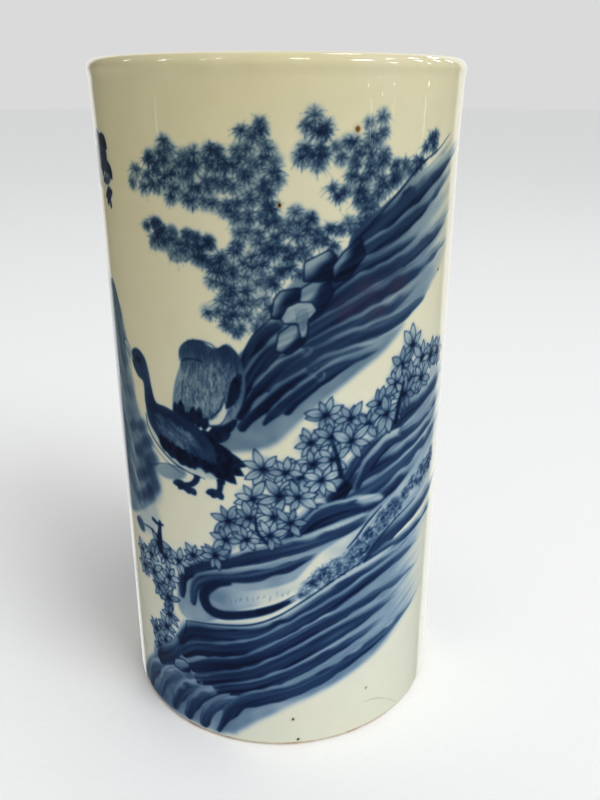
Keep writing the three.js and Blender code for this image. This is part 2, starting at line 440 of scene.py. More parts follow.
def upper_rock():
    """The high rock: folds that fan out to the right from a tumble of blocks."""
    wash([(-9, 126), (0, 142), (8, 151), (22, 157), (32, 165), (44, 172.6), (58, 177), (66, 160), (54, 145),
          (36, 135), (14, 122), (0, 110), (-14, 104)], 0.42, 0.7, fades=(40, 64))
    wash([(-17, 101.5), (-2, 103), (8, 112), (20, 121), (30, 127), (36, 133), (14, 126), (-6, 112)],
         0.42, 1.3)
    fold([(21.5, 155.5), (30, 161.5), (40, 167.5), (50, 172), (62, 175.5)], (7.5, 8, 7, 4.4, 1.5),
         dark=0.95, light=0.5, crest=2.4, tip=0.25)
    folds([
        ([(14, 149), (20, 152), (30, 157), (40, 162), (49, 166.5), (56, 169.5)], (4, 5, 5.2, 4.4, 3.2, 1)),
        ([(12, 144), (20, 148.5), (28, 152), (36, 155), (45, 158.5)], (4, 4.6, 4.6, 3.4, 1)),
        ([(8, 137), (15, 142), (24, 147), (34, 150), (44, 153.5), (60, 159.5)], (4, 4.6, 5, 4.6, 3.6, 1.4)),
        ([(5, 132), (14, 137), (24, 141.5), (34, 145), (44, 148), (58, 153)], (4.6, 5, 5, 5, 3.4, 1)),
        ([(3, 127), (14, 132.5), (26, 137), (34, 140), (42, 144)], (4.6, 5.6, 5.4, 4.4, 2)),
        ([(-1, 121), (8, 127), (20, 132), (30, 134), (40, 137.5), (51, 142)], (5, 5.4, 5, 4.6, 3.6, 1)),
        ([(4, 121), (12, 126), (22, 129), (31, 130)], (3, 4, 3.4, 1)),
        ([(3, 114), (9, 120.5), (16, 125), (24, 127.5), (32, 129.5)], (3, 4.4, 4, 3, 1)),
    ], dark=0.92, light=0.58, crest=1.3, tip=0.3)
    folds([
        ([(-8, 121), (-6.5, 128), (-3, 134), (2, 138)], (3, 4.6, 5, 3)),
        ([(-9, 116), (-6, 123), (-1, 130), (6, 134.5)], (3, 4.4, 4.6, 3)),
        ([(-9.5, 112), (-5, 118.5), (2, 126), (8, 130)], (2.4, 3.8, 4, 3)),
        ([(-9, 108.5), (-4, 114), (2, 120), (9, 125)], (2, 3.4, 3.6, 3)),
        ([(-3, 110), (1, 114.5), (6, 119), (11, 123)], (1.6, 3.2, 3.2, 2.4)),
    ], dark=1.0, light=0.64, crest=0.7, tip=0.1)
    block([(0, 130), (0.8, 134.5), (4, 137), (7.5, 136.5), (7.5, 132), (3.5, 129)], edge=-0.05)
    block([(-1, 138.5), (-0.2, 143.4), (1.4, 145.4), (6.2, 146.2), (7, 142), (3.5, 138)], edge=-0.2)
    block([(6, 142.5), (6.4, 146), (10, 148), (13.6, 147.5), (14.6, 144), (11, 139.5)], edge=-0.05)
    block([(7, 147.6), (7.2, 152.4), (13.4, 155.2), (15.4, 153.4), (14, 149.2), (12, 147.4)], edge=-0.3)
    block([(14.4, 147), (14.2, 151), (17, 154.4), (21.6, 157.6), (23, 153), (18.4, 147.6)], edge=-0.25)
    block([(1.4, 138.4), (3, 141.4), (5.7, 142.6), (9.2, 142.4), (10.5, 140.2), (8.3, 137.8), (7.9, 133.2),
           (6.4, 133.2), (5.4, 137.2), (2.2, 137)], light=0.34, edge=0.4)
    for x in (5.2, 5.9, 6.6, 7.2, 7.8):
        line([(x, 140.8), (x + 0.3, 137.8), (6.3 + 0.3 * (x - 5), 135.4)], 0.22, 0.5)
    line([(21.5, 158), (26, 162), (32, 167), (40, 173), (47, 175.6), (54, 179)], 0.5, 0.85)
    line([(-9.6, 119), (-8.6, 127), (-5.4, 134), (-0.4, 139)], 0.6, 0.8)
    for x, z in ((27, 138), (33, 144), (24, 144), (18, 140)):
        xs, zs, place = window(x - 6, x + 6, z - 4, z + 4)
        blush[place] += 0.7 * smooth(5, 0, np.hypot((xs - x) * 0.8, zs - z))


def middle_rock():
    """The rock that crosses the middle, with a curled end at its left."""
    wash([(-32, 44), (-31, 56), (-22, 64), (-8, 70), (3, 75), (10, 88), (18, 95), (30, 106), (42, 111),
          (62, 118), (66, 96), (46, 88), (28, 77), (10, 66), (0, 56), (-12, 50), (-24, 42)],
         0.36, 0.8, fades=(46, 66))
    folds([
        ([(31, 101), (38, 106.5), (46, 108.5), (56, 111.5), (66, 115)], (3, 6, 5.4, 5, 3)),
        ([(28, 96), (34, 99.5), (44, 101), (54, 103.5), (66, 107)], (3, 4, 3.8, 3, 1)),
        ([(20, 90), (28, 93), (38, 95.5), (50, 99), (64, 104)], (4, 5.2, 4.6, 3.8, 1.4)),
        ([(18, 84), (28, 87.5), (38, 90.5), (50, 94.5), (64, 99.5)], (4, 5.6, 5.2, 4, 1.4)),
        ([(26, 81.5), (36, 85.5), (46, 89), (58, 93)], (4, 5, 4, 1.4)),
    ], dark=0.86, light=0.46, crest=1.7, tip=0.35)
    folds([
        ([(17.5, 90), (21, 95.5), (26, 101), (32, 104.5)], (2.4, 4.6, 5, 3)),
        ([(22.5, 89), (26, 95), (32, 100), (38, 101.5)], (2.4, 4.8, 4.4, 2)),
    ], dark=0.93, light=0.4, crest=1.7, tip=0.15)
    block([(9.6, 84), (10.4, 89), (13.6, 92.4), (17.6, 92.6), (21, 89), (18, 84.5), (13, 82.6)],
          0.4, 0.95, -0.15)
    folds([
        ([(2.6, 75), (5, 80), (9.4, 84.5), (14, 86)], (2.6, 3.8, 3.4, 1.6)),
        ([(6, 76), (10.6, 80.5), (18, 82.6), (26, 82.6), (33, 83.5)], (3, 6, 6.6, 5, 2)),
    ], dark=0.94, light=0.38, crest=1.6, tip=0.15)
    folds([
        ([(-30.5, 50), (-29, 57.5), (-22, 63), (-12, 67), (0, 71.5), (12, 74.6), (22, 77), (30, 80)],
         (2, 4.4, 5, 5.4, 5.4, 5, 4, 2)),
        ([(-26.5, 49), (-25, 56), (-19, 60.4), (-8, 63), (2, 66.4), (12, 70.5)], (2, 4, 4.6, 5.2, 4, 1)),
    ], dark=0.94, light=0.46, crest=1.5, tip=0.15)
    pool_shape = [(-21, 53), (-16, 56.4), (-8, 57.4), (2, 60), (12, 64.5), (14, 62), (4, 57.5), (-2, 54),
                  (-12, 50.6)]
    cover, place, xs, _ = area(pool_shape, 0.6)
    lay(place, cover, 0.42 - 0.34 * smooth(-18, 2, xs) + 0.03 * MOTTLE[place])
    stroke([(-14, 59), (-18.5, 57.6), (-22.2, 53.6), (-21.4, 49), (-17, 47.4), (-10, 48.8), (-3, 51),
            (3, 54)],
           (1.2, 3, 3.4, 3.4, 3, 2.8, 2.4, 1), 0.93, 0.5, lay_tone(0.93))
    for offset in (-0.8, 0, 0.9):
        stroke([(-6, 50 + offset), (0, 52.4 + offset), (6, 56 + offset), (9 + offset, 58.4 + offset)],
               (0.9, 0.7, 0.4, 0.1), 0.75, 0.25)
    for x in np.arange(-14, 4, 1.7):
        top = 57 + 0.2 * x + rng.uniform(-0.8, 0.6)
        tip = (x + rng.uniform(-0.6, 0.2), top - rng.uniform(0.8, 2))
        line([(x, top), tip], 0.28, rng.uniform(0.25, 0.5))


def mossy_slope():
    """A pale slope of tiny tufts between the middle rock and the lower one."""
    cover, place, xs, _ = area([(6, 53.4), (5, 59), (8, 65), (14, 71), (25, 76), (36, 83), (48, 90),
                                (64, 96), (68, 84), (50, 77), (38, 72), (28, 66), (25, 62), (12, 56.8)], 0.7)
    lay(place, cover * smooth(66, 48, xs), 0.07 + 0.2 * smooth(10, 28, xs) + 0.03 * MOTTLE[place])
    line([(20, 69.5), (23, 72.5), (26, 76), (31, 80)], 0.7, 0.8)
    tufts = [(4, 55), (8, 60), (13, 65), (20, 68.6), (26, 74), (34, 80), (44, 85), (56, 89), (57, 84),
             (44, 79), (34, 73), (27, 67), (24, 62.4), (12, 57.6)]
    haze(scatter(tufts, 2), 1.5, 0.24, 0.9)
    for x, z in scatter(tufts, 1.5):
        stroke([(x, z), (x + 0.2, z + 0.1)], (0.5, 0.4), rng.uniform(0.1, 0.5), 0.25)
    for x, z in scatter(tufts, 1.9):
        spray(x, z, rng.uniform(1.3, 2.6), rng.uniform(0.4, 0.9), int(rng.integers(8, 12)))
    folds([
        ([(26.5, 63.5), (30, 67.5), (38, 70.6), (48, 73.5), (62, 78)], (3, 6, 5.6, 5, 2.6)),
        ([(27, 63.6), (38, 65.6), (50, 68), (62, 70)], (2.6, 4, 3, 1)),
    ], dark=0.86, light=0.45, crest=1.7, tip=0.4)
    line([(26, 63.4), (29, 68), (36, 73), (46, 76.6)], 0.5, 0.8)


def lower_rock():
    """The big rock at the foot: many long folds, with short rounded ones at its lower left."""
    wash([(-56, 2), (-55, 9), (-49, 16), (-46, 24), (-36, 31), (-30, 41), (-20, 44), (0, 48), (10, 55.6),
          (30, 64), (60, 66), (62, 52), (56, 41), (40, 34), (24, 26), (8, 19), (-4, 12.5), (-12, 5.5),
          (-18, 2)],
         0.4, 1.2, fades=(34, 58))
    wash([(-57, 2), (-55, 10), (-49, 17), (-42, 24), (-34, 26), (-26, 20), (-24, 8), (-28, 2)], 0.55, 1.5)
    wash([(-22, 2), (-14, 3.4), (-5, 10.6), (5, 16.6), (17, 22), (30, 27.6), (42, 34), (52, 39.4),
          (40, 38), (20, 30), (0, 21), (-14, 12)], 0.47, 1.5, fades=(30, 52))
    # these first two folds, at the lower left edge, are paler than the rest: their own cobalt with a painted
    # reflection of glare over it
    folds([
        ([(-52, 3.5), (-50.5, 9.5), (-45.5, 15), (-39, 18)], (3, 5.5, 6, 4)),
        ([(-45, 3.5), (-42.5, 10.5), (-37.5, 16.5), (-32, 20)], (3, 5, 5.5, 4)),
    ], dark=0.78, light=0.52, crest=1.8, tip=0.1)
    fold([(-43, 20), (-38, 24), (-34, 29), (-31, 34)], (5, 6, 6, 4), dark=0.9, light=0.66, crest=1.4, tip=0.1)
    fold([(-32, 33), (-27.5, 37.6), (-18, 40), (-8, 42.4), (1, 46.4), (9, 52), (19, 57.8), (31, 62),
          (47, 65)],
         (4, 6.6, 6.4, 5.4, 5, 5, 4.6, 3.2, 1), dark=0.93, light=0.36, crest=1.4, tip=0.3)
    folds([
        ([(-31, 28), (-26, 32), (-17, 34.6), (-7, 38), (1, 42.6), (9, 47.6), (19, 53), (30, 58),
          (43, 60.8), (56, 61.6)],
         (4, 5.4, 5.4, 5.4, 5.2, 5.2, 4.6, 4, 2.6, 0.8)),
        ([(-28, 24.5), (-21, 28), (-12, 31), (-4, 35), (3, 39.6), (10, 43.8), (20, 48), (32, 51.2),
          (51, 52.6)],
         (4, 5, 5, 5.2, 5, 4.6, 4.2, 3.2, 0.8)),
        ([(-26, 20), (-17, 24), (-8, 27.4), (0, 32), (8, 36.6), (17, 41.2), (30, 45.4), (45, 48.4)],
         (4, 5, 5.4, 6, 6, 5.4, 3.6, 0.8)),
        ([(-24, 15), (-17, 19.4), (-8, 22.6), (0, 26.6), (10, 31.8), (20, 36.4), (29, 39.6), (37, 41.4)],
         (4, 5, 5, 4.6, 4.4, 4.2, 3.2, 1)),
    ], dark=0.93, light=0.52, crest=1.05, tip=0.3)
    folds([
        ([(-37.5, 3.5), (-35, 9.5), (-31, 15), (-26, 19)], (3, 5, 5, 3.4)),
        ([(-31, 3.5), (-29, 9), (-25.5, 14.4), (-20, 19)], (2.6, 4.6, 4.8, 3.4)),
        ([(-25, 3), (-23, 8.4), (-19.5, 13.6), (-14, 18)], (2.6, 4.6, 4.8, 3.4)),
    ], dark=0.9, light=0.6, crest=1.7, tip=0.1)
    fold([(-19.6, 2.6), (-16.8, 9), (-12, 15.6), (-4, 19.6), (4, 22.2), (14, 27), (24, 31.4), (34, 34.6),
          (44, 37.8), (55, 41.4)],
         (1.6, 4.6, 5.4, 5.6, 6, 5.4, 4.6, 3.6, 2.4, 0.8), dark=0.92, light=0.48, crest=1.4, tip=0.3)
    block([(-36.5, 21), (-35.4, 24), (-32, 25.4), (-29, 24.4), (-29.4, 21.6), (-33, 20.2)], 0.5, 0.9, 0.2)
    line([(-29.4, 41), (-26, 42), (-18, 43.6), (-8, 45.6), (0, 49.2), (8, 54.6), (18, 60.8), (28, 64.6)],
         0.55, 0.85)
    line([(-33, 30), (-30.4, 36), (-29.2, 41.4)], 0.5, 0.8)


def left_cliff():
    """The tall cliff that starts at the left of the front and goes on round the side."""
    cliff = [(-116, 62), (-112, 104), (-102, 128), (-88, 142), (-74, 144), (-62, 141), (-54, 137), (-50, 128),
             (-48, 117), (-45, 107), (-39, 96), (-37, 88), (-38, 80), (-43, 75), (-50, 70), (-60, 66),
             (-80, 62)]
    wash(cliff, 0.45, 1.1)
    wash([(-66, 122), (-52, 122), (-47, 109), (-40, 98), (-37, 88), (-38, 80), (-44, 76), (-54, 78),
          (-64, 92)], 0.5, 3)
    for edge in (
        [(-57, 139), (-53, 131), (-50.6, 120), (-47, 110)], [(-72, 141), (-66, 128), (-62, 114), (-55, 100)],
        [(-66, 118), (-60, 104), (-53, 92), (-47, 84)], [(-86, 138), (-80, 122), (-76, 106), (-68, 90)],
        [(-100, 126), (-94, 110), (-90, 94), (-82, 78)], [(-106, 106), (-100, 92), (-96, 78), (-90, 68)],
        [(-60, 92), (-55, 84), (-50, 77), (-45, 73)], [(-76, 92), (-70, 82), (-63, 74), (-58, 69)],
    ):
        fold(edge, (3, 6, 7, 4), dark=0.7, light=0.48, crest=2.2, tip=0.3)
    heading = (330, 0.5)
    down(cliff, heading, 500, 0.22, 6, 0.4)
    down(cliff, heading, 200, 0.12, 6, 0.6, lift)
    for x, z, size in (
        (-43.4, 101, 2.4), (-41.4, 96.6, 2.6), (-39.6, 91.6, 3), (-41.6, 87, 2.8), (-39.8, 83, 3),
        (-43, 79.4, 2.8), (-46.6, 92, 2.6), (-46.4, 84, 2.6), (-47.6, 76.4, 2.4), (-49, 99, 2.2),
    ):
        ends = [(x - size * 0.6, z - size * 0.3), (x + size * 0.4, z + size * 0.3)]
        stroke(ends, (size * 1.2, size * 1.5), 0.42, 1.2)
    xs, zs, place = window(-120, -54, 58, 96)
    lift(place, smooth(94, 66, zs + 3 * DRIFT[place]) * smooth(-54, -72, xs))
    wash([(-39, 90), (-34, 92.4), (-29, 93), (-26, 91.4), (-29, 89), (-35, 88)], 0.4, 0.7)
    line([(-40, 90), (-34, 92.6), (-28.6, 93), (-26, 91.6)], 0.35, 0.6)
    wash([(-48, 76), (-40, 78), (-38, 72), (-42, 66), (-50, 66)], 0.2, 1.6)


def leaf_bushes():
    """Outlined rosettes along the middle rock and in the hollow at the left."""
    bush([(40.5, 126), (36.4, 121.4), (45.6, 121), (50.6, 120), (56, 119.6), (34.6, 116.4), (40.6, 116),
          (45.6, 115), (38, 112.4)], inside=0.33)
    bush([(13, 111.6), (20, 109.6), (29, 112), (25.4, 107), (31.4, 108.4), (9, 104), (14.6, 105), (20.4, 103),
          (9.6, 97.6), (15, 98.4), (6.4, 94), (12, 92.6)])
    bush([(-3.6, 96.6), (2.4, 95.6), (-6.5, 87.4), (0.6, 88.6), (5.6, 88), (-13.6, 79.6), (-7.6, 81.4),
          (-1, 82), (3.6, 80), (-14.6, 73.4), (-8.6, 74.4), (-2, 76)])
    bush([(-25.4, 65.6), (-18, 67.4), (-31, 61.6)], 4.8)
    bush([(-50, 57), (-44, 58), (-36.6, 60.6), (-49, 51.4), (-43, 52.4), (-35.6, 54), (-40.6, 48),
          (-36.6, 46), (-39.6, 64)], 5.0, 0.34, 0.85)
    bush([(-36.5, 40), (-38.4, 34.6), (-44.6, 30), (-39.6, 28.4), (-43.4, 24.6)], 4.8, 0.36, 0.85)
    for points, width in (
        ([(35, 105), (36, 110), (37.6, 116)], 1.6), ([(17.6, 93), (16.6, 98), (15, 103.6)], 1.5),
        ([(-3, 73.6), (-5.4, 77), (-6, 82)], 1.1), ([(-38.6, 62), (-38.6, 67), (-38, 72)], 2.4),
        ([(-41.4, 71.6), (-39, 71), (-36.6, 71.6)], 1.3), ([(-38.6, 66), (-43, 67.6), (-48, 67)], 0.6),
    ):
        stroke(points, (width, width * 0.85, width * 0.5), 0.9, 0.35)
    wash([(-53, 66), (-50.6, 68.4), (-47.6, 67.6), (-47, 64.6), (-50, 63.6)], 0.66, 0.7)


def far_bird():
    """The bird behind, seen from its back: streaked, with dark wing tips and a white rump."""
    for start, end, breadth in (((-18, 105), (-10, 110.6), 4), ((-18, 104), (-12, 106.4), 3.4),
                                ((-17, 107), (-11, 111), 3)):
        plume(start, end, breadth, 0.93)
    back = [(-29, 110), (-28.8, 116), (-27, 121.5), (-25.8, 124.2), (-26, 127.6), (-23.6, 130.6),
            (-19.6, 131.4), (-15.6, 129.8), (-12.6, 131), (-9.6, 129), (-7.8, 123.5), (-8.2, 117),
            (-11, 111), (-16, 108), (-23, 108)]
    cover, place, xs, zs = area(back, 0.3)
    top = 0.24 * smooth(121, 130, zs) + 0.14 * smooth(-17, -9, xs) * smooth(114, 122, zs)
    lay(place, cover, 0.47 + top + 0.03 * MOTTLE[place])
    heading = (296.8, 1.6)
    down(back, heading, 620, 0.4, 3)
    down([(-28, 111), (-27, 122), (-18, 126), (-10, 124), (-10, 115), (-16, 109)],
         heading, 260, 0.4, act=lift)
    patch([(-19.4, 108.6), (-16, 110.6), (-13.4, 115), (-13, 112), (-14.6, 108.6)], 0.1, 0.5)
    line([(-17.4, 110.4), (-14.8, 113), (-13.8, 116)], 0.45, 0.8)
    line([(-20.5, 107.4), (-15, 108.6), (-12.6, 112.4)], 0.4, 0.75)
    line([(-26, 123.4), (-25, 125.2), (-22.6, 126), (-19, 125.8)], 0.45, 0.7)
    line([(-26.2, 125), (-25.6, 128.6), (-22, 131.2), (-17, 131), (-14.6, 129.6), (-12, 131.2),
          (-9.6, 128.6)], 0.5, 0.6)
    for index in range(6):
        root = (-28 + 1.65 * index, 107.6 - 0.2 * index)
        plume(root, (root[0] - 0.5 + 0.3 * index, root[1] + 5.2 + 1.6 * math.sin(2.2 * index)), 2.3, 0.95)
    for top in (123.4, 121.4, 119.4):
        plume((-8.9 - 0.1 * (124 - top), top), (-11.8 - 0.3 * (124 - top), top - 6), 2.3, 0.96)


def webbed_foot(x, z, size):
    """Three dark toes from a heel."""
    for angle in (205, 240, 290):
        way = np.array([math.cos(math.radians(angle)), 0.6 * math.sin(math.radians(angle))]) * size
        plume((x, z), (x + way[0], z + way[1]), 2.2, 0.88)


def near_bird():
    """The bird in front: long neck to the left, dark back, white-edged belly, fanned tail."""
    stroke([(-23.5, 94), (-22.6, 91.4), (-24.4, 89), (-27.4, 88)], (2.4, 1.9, 1.6, 1.3), 0.93, 0.25)
    stroke([(-15.6, 94), (-15.6, 90), (-16.4, 87.5)], (2.2, 1.8, 1.5), 0.93, 0.25)
    webbed_foot(-27, 88.6, 4.8)
    webbed_foot(-24.6, 87.6, 3.6)
    webbed_foot(-16.4, 88.4, 4.2)
    for start, end, breadth in (
        ((-20.5, 106), (-15.2, 101.2), 3.4), ((-19, 102.4), (-11, 99), 4), ((-18, 101), (-8, 97), 4),
        ((-17.6, 99.4), (-8.6, 94.2), 3.8), ((-17.6, 98), (-10.8, 91.4), 3.6),
        ((-18.4, 97.4), (-14.2, 90.8), 3.4),
    ):
        plume(start, end, breadth, 0.96)
    patch([(-40.6, 106), (-39.2, 101.6), (-35.4, 97.6), (-30.6, 94.4), (-24, 92.4), (-17, 92), (-17, 94),
           (-30, 98)], 0.14, 0.25)
    whole = [(-46.3, 121.8), (-44.8, 123.8), (-42.2, 124.4), (-39.5, 122.8), (-38.1, 119.4), (-37.2, 114.6),
             (-35.8, 110.8), (-32, 110.4), (-27, 109.2), (-21.5, 106.8), (-17.6, 102.6), (-16.4, 98),
             (-17.4, 94.6), (-20.4, 94.4), (-24.6, 94), (-29, 95), (-33, 97.2), (-36.6, 100.6),
             (-39.6, 104.2), (-40.7, 109.6), (-40.9, 115), (-43.4, 116.2), (-45.6, 118.6)]
    cover, place, xs, zs = area(whole, 0.3)
    wing = np.exp(-((xs + 27) / 8) ** 2 - ((zs - 101.5 + 0.25 * (xs + 27)) / 3.6) ** 2)
    neck = smooth(108, 118, zs)
    lay(place, cover, 0.86 - 0.2 * wing - 0.1 * neck + 0.03 * MOTTLE[place])
    heading = (295.6, -0.8)
    down([(-38, 110), (-30, 109.6), (-22, 106.4), (-18, 101), (-22, 97), (-32, 98.4), (-38, 103)],
         heading, 300, 0.34, 3)
    down([(-36, 107), (-28, 107), (-20, 102.4), (-21, 98), (-30, 98.4), (-36, 102)],
         heading, 170, 0.3, act=lift)
    for index in range(9):
        root = (-35 + 2.1 * index, 101 - 0.5 * index)
        plume(root, (root[0] + 2.4, root[1] - 4.6 - 0.8 * (index % 2)), 2.8, 0.97)
    for index in range(5):
        root = (-29 + 2.4 * index, 97.4 - 0.2 * index)
        plume(root, (root[0] + 2.2, root[1] - 3.4), 2.4, 0.97)
    line([(-40.8, 106), (-40, 102), (-36.6, 98), (-31, 94.4), (-25, 92.4), (-20, 91.6)], 0.5, 0.85)
    line([(-41, 100), (-38, 97), (-33, 93.6), (-27, 91.4)], 0.35, 0.6)
    for x, z, size in ((-21.6, 93.6, 1.6), (-18.6, 92.8, 1.6)):
        patch([(x - size, z), (x, z + size * 0.7), (x + size, z), (x, z - size * 0.7)], 0.2, 0.5)
    patch([(-46.2, 122.8), (-48.6, 125), (-50.4, 124.6), (-49.6, 122.8), (-45.8, 120)], 0.24, 0.2)
    line([(-46, 123.2), (-48.6, 125.2), (-50.4, 124.6), (-49.4, 122.6), (-45.8, 119.8)], 0.4, 0.6)
    line([(-46.2, 121.4), (-49.4, 123.8)], 0.3, 0.5)
    stroke([(-42.9, 121.3), (-42.3, 121.3)], (1.5, 1.5), 0.97, 0.25, lay_tone(0.97))
    down([(-46, 122), (-42, 124.2), (-38.4, 120), (-37.6, 113), (-36, 108), (-40.4, 108), (-40.6, 115)],
         (285, 0), 110, 0.25, 1.8)


# ---- the sides and the back, which only continue the front ----
def hill(points, ink):
    """A far hill: a fine crest line over a wash that fades down to nothing."""
    crest_line = curve(points)
    xs, zs, place = window(points[0][0], points[-1][0], 80, max(z for _, z in points) + 2)
    under = np.interp(xs, crest_line[:, 0], crest_line[:, 1]) - zs
    ends = smooth(points[0][0], points[0][0] + 9, xs) * smooth(points[-1][0], points[-1][0] - 9, xs)
    pour(place, ink * smooth(-0.3, 0.4, under) * smooth(20, 0, under + 2 * MOTTLE[place]) * ends)
    stroke(points, (0.2, 0.6, 0.7, 0.5, 0.2), 0.45, 0.35)


def ripples(low_x, high_x, levels):
    """Short wave lines on water."""
    for z in levels:
        x = low_x + rng.uniform(0, 8)
        while x < high_x:
            length = rng.uniform(5, 11)
            line([(x, z), (x + length / 2, z + 0.5), (x + length, z - 0.1)], 0.35, 0.5)
            x += length + rng.uniform(5, 12)


def bank(x, z, size):
    """A low rock in the water, with its foot in pale wash. x and z are its lower left end."""
    def placed(points):
        return [(x + size * right, z + size * up) for right, up in points]

    wash(placed([(-2, -2), (2, 10), (12, 21), (26, 27), (42, 27), (60, 20), (50, 12), (34, 8), (16, 3),
                 (6, -3)]),
         0.34, 1.2, (x + 34 * size, x + 60 * size))
    folds([
        (placed([(1, 6), (8, 17), (20, 24.5), (34, 26), (50, 23)]), np.array((2.4, 5, 5.6, 4.4, 1)) * size),
        (placed([(0, 1), (8, 11), (20, 18.5), (36, 21), (54, 19)]), np.array((2.4, 5, 5.6, 4.6, 1)) * size),
        (placed([(3, -2.6), (11, 5.6), (22, 12.5), (36, 15.5), (52, 14.6)]),
         np.array((2, 4.6, 5.2, 4, 0.8)) * size),
        (placed([(9, -2.4), (16, 2.4), (26, 7.6), (38, 10.6), (50, 10.6)]),
         np.array((1.6, 3.8, 4, 3, 0.8)) * size),
    ], dark=0.93, light=0.5, crest=1.3, tip=0.35)
    line(placed([(0, 7), (7, 19), (20, 27.4), (34, 28.6)]), 0.5, 0.85)


def reed(x, z, height, lean):
    """A tuft of long thin blades."""
    for _ in range(7):
        way, tall = lean + rng.uniform(-5, 5), height * rng.uniform(0.6, 1.1)
        line([(x, z), (x + way * 0.3, z + tall * 0.6), (x + way, z + tall * (1 - abs(way) / 30))], 0.5, 0.8)


def right_side():
    """Far hills over water, a low bank with reeds, and birds in the sky."""
    hill([(64, 104), (74, 116), (82, 111), (92, 126), (101, 117), (110, 108), (118, 102)], 0.32)
    hill([(96, 102), (106, 112), (114, 108), (124, 119), (133, 112), (146, 101)], 0.26)
    hill([(128, 101), (140, 109), (150, 105), (162, 113), (176, 101)], 0.22)
    ripples(66, 150, (72, 77, 82, 88))
    reed(84, 24, 30, 6)
    reed(120, 31, 24, -7)
    bush([(92, 36), (99, 39), (106, 40), (98, 45), (105, 46)], 5)
    bank(78, 11, 0.95)
    ripples(70, 146, (6, 10))
    for x, z, size in ((92, 152, 2.6), (99, 156, 2.2), (105, 151, 2.4), (112, 157, 1.8)):
        stroke([(x - size, z + size * 0.5), (x - size * 0.4, z + size * 0.35), (x, z)], (0.2, 0.6, 0.5), 0.85)
        stroke([(x, z), (x + size * 0.5, z + size * 0.45), (x + size, z + size * 0.3)], (0.5, 0.6, 0.2), 0.85)


def left_side():
    """A leaning tree on the cliff with dark leaves, and a low rock under it."""
    stroke([(-98, 128), (-92, 142), (-94, 154), (-86, 166), (-76, 174)], (5, 4.2, 3.4, 2.6, 1.2), 0.9, 0.3)
    for points in (
        [(-93, 150), (-102, 158), (-112, 162)], [(-88, 163), (-96, 172), (-104, 178)],
        [(-82, 170), (-74, 166), (-64, 168)], [(-92, 145), (-82, 150), (-72, 150)],
    ):
        stroke(points, (1.8, 1.3, 0.7), 0.9, 0.3)
    for x, z, size in (
        (-114, 162, 6), (-107, 166, 6), (-101, 160, 5), (-105, 179, 6), (-97, 176, 6), (-88, 176, 6),
        (-79, 178, 6), (-71, 173, 6), (-64, 170, 6), (-72, 152, 5), (-79, 154, 5), (-58, 174, 5.4),
    ):
        dark_leaves(x, z, size, 16, 0.93)
    dark_leaves(-54.5, 175.5, 6.4, 34)
    leaf(-56, 167, 0.3, 6.4, 3, 0.55, 0.8)
    leaf(-50, 165, 3.4, 4.6, 3, 0.6, 0.8)
    dark_leaves(-52.4, 163.6, 3.2, 7)
    canopy([(-154, 40), (-151, 56), (-144, 59), (-138, 52), (-140, 44), (-147, 36)])
    bush([(-133, 42), (-126, 46), (-119, 49), (-112, 50), (-123, 53), (-105, 50), (-115, 56), (-130, 51)])
    bank(-148, 8, 1.25)
    reed(-66, 26, 26, 8)
    reed(-72, 22, 30, -4)
    ripples(-90, -58, (8, 13, 18))
    ripples(-152, -70, (4,))


def specks():
    """Iron specks that have burnt through the glaze, and a short rusty line near the foot."""
    chosen = [(19.8, 182.6, 1.2, 0.6), (1.4, 166, 0.8, 1), (28, 16, 0.6, 0.8), (4, 10.5, 0.7, 0.8),
              (5.5, 2.2, 0.6, 0.9), (52, 144, 0.6, 1)]
    strewn = [(rng.uniform(62, 250), rng.uniform(8, 185), rng.uniform(0.35, 0.8), 1) for _ in range(16)]
    for x, z, width, burn in chosen + strewn:
        xs, zs, place = window(x - 2, x + 2, z - 2, z + 2)
        spot = np.hypot(xs - x, (zs - z) * 0.85) + 0.08 * GRAIN[place]
        core = burn * smooth(width * 0.7, width * 0.3, spot)
        iron[place] = np.maximum(iron[place], core + 0.1 * smooth(width * 1.6, width * 0.5, spot))

    def rust(place, ink):
        iron[place] += 0.24 * ink * np.clip(1 + MOTTLE[place], 0, 1)

    stroke([(25, 11), (31, 10), (36, 7.4), (42, 2.4)], (0.15, 0.3, 0.2, 0.1), 1.0, 0.2, rust)


def soaked(spread):
    """The cobalt after it has spread by some millimetres in the glaze."""
    up = np.fft.fftfreq(ROWS, STEP)[:, None]
    right = np.fft.rfftfreq(COLUMNS, STEP_X)[None, :]
    keep = np.exp(-2 * (math.pi * spread) ** 2 * (up ** 2 + right ** 2))
    return np.fft.irfft2(np.fft.rfft2(cobalt) * keep, s=cobalt.shape)


left_cliff()
right_side()
left_side()
upper_foliage()
upper_rock()
middle_rock()
leaf_bushes()
mossy_slope()
lower_rock()
far_bird()
near_bird()
specks()
FAR_SHARE = 0.14                 # of the cobalt, which spreads further than the rest
cobalt = np.clip((1 - FAR_SHARE) * soaked(0.16) + FAR_SHARE * soaked(0.9), 0, 1)


